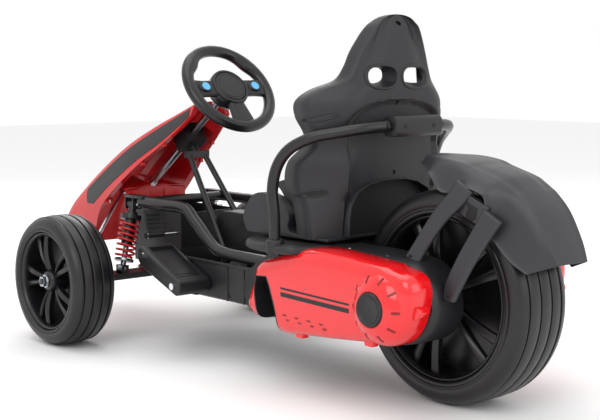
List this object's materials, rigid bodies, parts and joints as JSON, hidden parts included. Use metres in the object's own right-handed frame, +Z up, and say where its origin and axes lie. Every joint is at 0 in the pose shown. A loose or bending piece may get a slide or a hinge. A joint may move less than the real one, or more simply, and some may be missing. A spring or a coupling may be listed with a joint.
{
  "type": "ride-on drift kart",
  "caption": "Three-wheel ride-on kart: steered sprung front wheels, a driven rear wheel with side pods, bucket seat, roll hoop and nose cowl.",
  "frame": {"origin": "centre of the bounding box footprint, on the ground under the wheels", "axes": "+X forward from the rear wheel to the nose, +Y to the left of the driver, +Z up"},
  "size_m": [1.395, 0.644, 0.648],
  "materials": {
    "frame_steel": "black powder coat, satin",
    "zinc_steel": "bright zinc plate",
    "chrome_hardware": "bright plated",
    "black_moulding": "fine grain",
    "seat_moulding": "coarse grain",
    "wheel_moulding": "semi-gloss",
    "tyre_black": "semi-gloss, moulded",
    "nose_red": "satin",
    "pod_red": "high gloss",
    "spring_red": "gloss powder coat",
    "inlay_black": "satin film",
    "button_blue": "gloss",
    "belt_web": "woven webbing",
    "battery_case": "satin",
    "motor_case": "satin",
    "gear_nylon": "natural nylon"
  },
  "bodies": {
    "chassis": {"rail_left": "frame_steel", "rail_right": "frame_steel", "backbone": "frame_steel", "floor_tray": "black_moulding", "console": "black_moulding", "battery": "battery_case", "battery_strap": "battery_case", "controller": "frame_steel", "front_cover": "black_moulding", "footrest_left": "black_moulding", "footrest_right": "black_moulding", "nose_cowl": "nose_red", "nose_bulkhead": "nose_red", "nose_inlays": "inlay_black", "column_support": "frame_steel", "column_bearing": "black_moulding", "damper_body_left": "frame_steel", "damper_body_right": "frame_steel", "coil_spring_left": "spring_red", "coil_spring_right": "spring_red", "seat_back": "seat_moulding", "seat_base": "seat_moulding", "lap_belts": "belt_web", "roll_hoop": "frame_steel", "hoop_bracket": "frame_steel", "body_deck": "black_moulding", "side_cover_left": "black_moulding", "side_cover_right": "black_moulding", "pod_left": "pod_red", "pod_right": "pod_red", "rear_axle": "zinc_steel", "gearboxes": "black_moulding", "motors": "motor_case", "rear_fender": "black_moulding", "bolts": "chrome_hardware"},
    "steering": {"steering_column": "zinc_steel", "steering_wheel": "wheel_moulding", "wheel_hub_cover": "wheel_moulding"},
    "horn_button": {"horn_button": "button_blue"},
    "sound_button": {"sound_button": "button_blue"},
    "rear_wheel": {"rear_rim": "wheel_moulding", "rear_tyre": "tyre_black", "drive_gears": "gear_nylon"},
    "pinions": {"motor_pinions": "gear_nylon"},
    "brake_pedal": {"brake_pedal": "black_moulding"},
    "accelerator_pedal": {"accelerator_pedal": "black_moulding"},
    "arm_left": {"lower_arm_left": "frame_steel"},
    "knuckle_left": {"knuckle_left": "frame_steel", "knuckle_bolts_left": "zinc_steel"},
    "wheel_left": {"front_rim_left": "wheel_moulding", "front_tyre_left": "tyre_black"},
    "damper_rod_left": {"damper_rod_left": "zinc_steel"},
    "tie_rod_left": {"tie_rod_left": "zinc_steel"},
    "arm_right": {"lower_arm_right": "frame_steel"},
    "knuckle_right": {"knuckle_right": "frame_steel", "knuckle_bolts_right": "zinc_steel"},
    "wheel_right": {"front_rim_right": "wheel_moulding", "front_tyre_right": "tyre_black"},
    "damper_rod_right": {"damper_rod_right": "zinc_steel"},
    "tie_rod_right": {"tie_rod_right": "zinc_steel"}
  },
  "joints": [
    {"name": "rear_wheel_spin", "type": "hinge", "parent": "chassis", "child": "rear_wheel", "pos_m": [-0.4575, 0, 0.18], "axis": [0, 1, 0], "continuous": true},
    {"name": "pinion_spin", "type": "hinge", "parent": "chassis", "child": "pinions", "pos_m": [-0.4125, 0, 0.18], "axis": [0, 1, 0], "continuous": true},
    {"name": "steering_turn", "type": "hinge", "parent": "chassis", "child": "steering", "pos_m": [0.1705, 0, 0.515], "axis": [-0.7934, 0, 0.6088], "range_deg": [-30, 30]},
    {"name": "horn_press", "type": "slide", "parent": "steering", "child": "horn_button", "axis": [0.7934, 0, -0.6088], "range_m": [0, 0.0015], "stiffness_N_per_m": 400, "springref_m": -0.0005},
    {"name": "sound_press", "type": "slide", "parent": "steering", "child": "sound_button", "axis": [0.7934, 0, -0.6088], "range_m": [0, 0.0015], "stiffness_N_per_m": 400, "springref_m": -0.0005},
    {"name": "brake_press", "type": "hinge", "parent": "chassis", "child": "brake_pedal", "pos_m": [0.2425, 0.132, 0.222], "axis": [0, 1, 0], "range_deg": [0, 15], "stiffness_Nm_per_rad": 1.5, "springref_deg": -8.59},
    {"name": "accelerator_press", "type": "hinge", "parent": "chassis", "child": "accelerator_pedal", "pos_m": [0.2425, -0.132, 0.222], "axis": [0, 1, 0], "range_deg": [0, 15], "stiffness_Nm_per_rad": 1.5, "springref_deg": -8.59},
    {"name": "arm_left_swing", "type": "hinge", "parent": "chassis", "child": "arm_left", "pos_m": [0.3725, 0.052, 0.126], "axis": [1, 0, 0], "range_deg": [0, 4], "stiffness_Nm_per_rad": 120, "springref_deg": -6.88, "deforming": ["coil_spring_left"]},
    {"name": "knuckle_left_steer", "type": "hinge", "parent": "arm_left", "child": "knuckle_left", "pos_m": [0.3725, 0.196, 0.126], "axis": [0, 0, 1], "range_deg": [-25, 25]},
    {"name": "wheel_left_spin", "type": "hinge", "parent": "knuckle_left", "child": "wheel_left", "pos_m": [0.3725, 0.2695, 0.131], "axis": [0, 1, 0], "continuous": true},
    {"name": "tie_rod_left_pivot", "type": "hinge", "parent": "knuckle_left", "child": "tie_rod_left", "pos_m": [0.4205, 0.188, 0.16], "axis": [0, 0, 1], "range_deg": [-25, 25]},
    {"name": "damper_left_pivot", "type": "hinge", "parent": "arm_left", "child": "damper_rod_left", "pos_m": [0.3545, 0.14, 0.142], "axis": [1, 0, 0], "range_deg": [-5, 5]},
    {"name": "arm_right_swing", "type": "hinge", "parent": "chassis", "child": "arm_right", "pos_m": [0.3725, -0.052, 0.126], "axis": [-1, 0, 0], "range_deg": [0, 4], "stiffness_Nm_per_rad": 120, "springref_deg": -6.88, "deforming": ["coil_spring_right"]},
    {"name": "knuckle_right_steer", "type": "hinge", "parent": "arm_right", "child": "knuckle_right", "pos_m": [0.3725, -0.196, 0.126], "axis": [0, 0, 1], "range_deg": [-25, 25]},
    {"name": "wheel_right_spin", "type": "hinge", "parent": "knuckle_right", "child": "wheel_right", "pos_m": [0.3725, -0.2695, 0.131], "axis": [0, 1, 0], "continuous": true},
    {"name": "tie_rod_right_pivot", "type": "hinge", "parent": "knuckle_right", "child": "tie_rod_right", "pos_m": [0.4205, -0.188, 0.16], "axis": [0, 0, 1], "range_deg": [-25, 25]},
    {"name": "damper_right_pivot", "type": "hinge", "parent": "arm_right", "child": "damper_rod_right", "pos_m": [0.3545, -0.14, 0.142], "axis": [-1, 0, 0], "range_deg": [-5, 5]}
  ],
  "couplings": [
    {"joint": "pinion_spin", "follows": "rear_wheel_spin", "ratio": -4},
    {"joint": "knuckle_left_steer", "follows": "steering_turn", "ratio": 0.78},
    {"joint": "tie_rod_left_pivot", "follows": "steering_turn", "ratio": -0.78},
    {"joint": "damper_left_pivot", "follows": "arm_left_swing", "ratio": -1},
    {"joint": "knuckle_right_steer", "follows": "steering_turn", "ratio": 0.78},
    {"joint": "tie_rod_right_pivot", "follows": "steering_turn", "ratio": -0.78},
    {"joint": "damper_right_pivot", "follows": "arm_right_swing", "ratio": -1}
  ]
}
